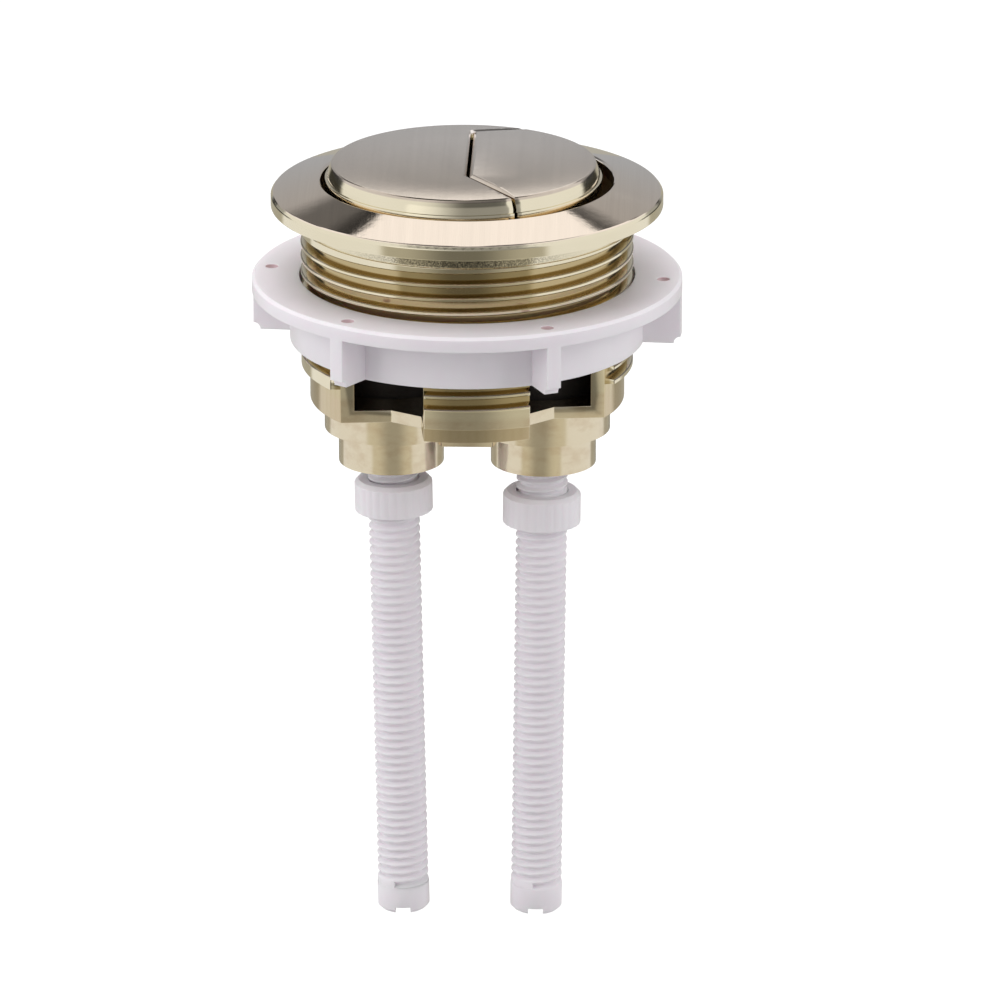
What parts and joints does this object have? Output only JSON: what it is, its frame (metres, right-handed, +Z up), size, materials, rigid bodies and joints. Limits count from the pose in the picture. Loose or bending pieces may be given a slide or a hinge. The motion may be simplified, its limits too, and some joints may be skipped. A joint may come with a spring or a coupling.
{
  "type": "push_button_cistern_actuator",
  "caption": "Round split push button for a toilet cistern lid: brushed gold flange and caps, threaded barrel, white flange nut and long white screw rods with lock nuts",
  "frame": {"origin": "centre of the flange's underside, where the flange rests on the top of the cistern lid", "axes": "+Z up along the barrel's axis to the buttons; front is -Y; the full flush button is on the -X side and the half flush button on the +X side"},
  "size_m": [0.0748, 0.0748, 0.1388],
  "materials": {
    "brushed_gold": "gold plate over plastic, brushed on the flange and the caps, polished on the bevels and the barrel",
    "white_plastic": "moulded white plastic with a soft gloss",
    "dark_plastic": "moulded black plastic",
    "spring_steel": "drawn wire, bright"
  },
  "bodies": {
    "housing": {"housing": "brushed_gold", "full_flush_spring": "spring_steel", "half_flush_spring": "spring_steel"},
    "mounting_nut": {"mounting_nut": "white_plastic"},
    "full_button": {"full_flush_cap": "brushed_gold", "full_flush_plunger": "dark_plastic"},
    "half_button": {"half_flush_cap": "brushed_gold", "half_flush_plunger": "dark_plastic"},
    "full_rod": {"full_flush_rod": "white_plastic"},
    "half_rod": {"half_flush_rod": "white_plastic"},
    "full_lock_nut": {"full_flush_lock_nut": "white_plastic"},
    "half_lock_nut": {"half_flush_lock_nut": "white_plastic"}
  },
  "joints": [
    {"name": "full_press", "type": "slide", "parent": "housing", "child": "full_button", "axis": [0, 0, -1], "range_m": [0, 0.006], "stiffness_N_per_m": 400, "springref_m": -0.006, "deforming": ["full_flush_spring"]},
    {"name": "half_press", "type": "slide", "parent": "housing", "child": "half_button", "axis": [0, 0, -1], "range_m": [0, 0.006], "stiffness_N_per_m": 400, "springref_m": -0.006, "deforming": ["half_flush_spring"]},
    {"name": "full_rod_turn", "type": "hinge", "parent": "full_button", "child": "full_rod", "pos_m": [-0.0133, 0, -0.0342], "axis": [-0.0192, 0, 0.9998], "continuous": true},
    {"name": "half_rod_turn", "type": "hinge", "parent": "half_button", "child": "half_rod", "pos_m": [0.0133, 0, -0.0342], "axis": [0.0122, 0, 0.9999], "continuous": true},
    {"name": "full_lock_turn", "type": "hinge", "parent": "full_rod", "child": "full_lock_nut", "pos_m": [-0.0133, 0, -0.0342], "axis": [-0.0192, 0, 0.9998], "continuous": true},
    {"name": "half_lock_turn", "type": "hinge", "parent": "half_rod", "child": "half_lock_nut", "pos_m": [0.0133, 0, -0.0342], "axis": [0.0122, 0, 0.9999], "continuous": true},
    {"name": "nut_turn", "type": "hinge", "parent": "housing", "child": "mounting_nut", "pos_m": [0, 0, -0.0182], "axis": [0, 0, 1], "continuous": true}
  ]
}
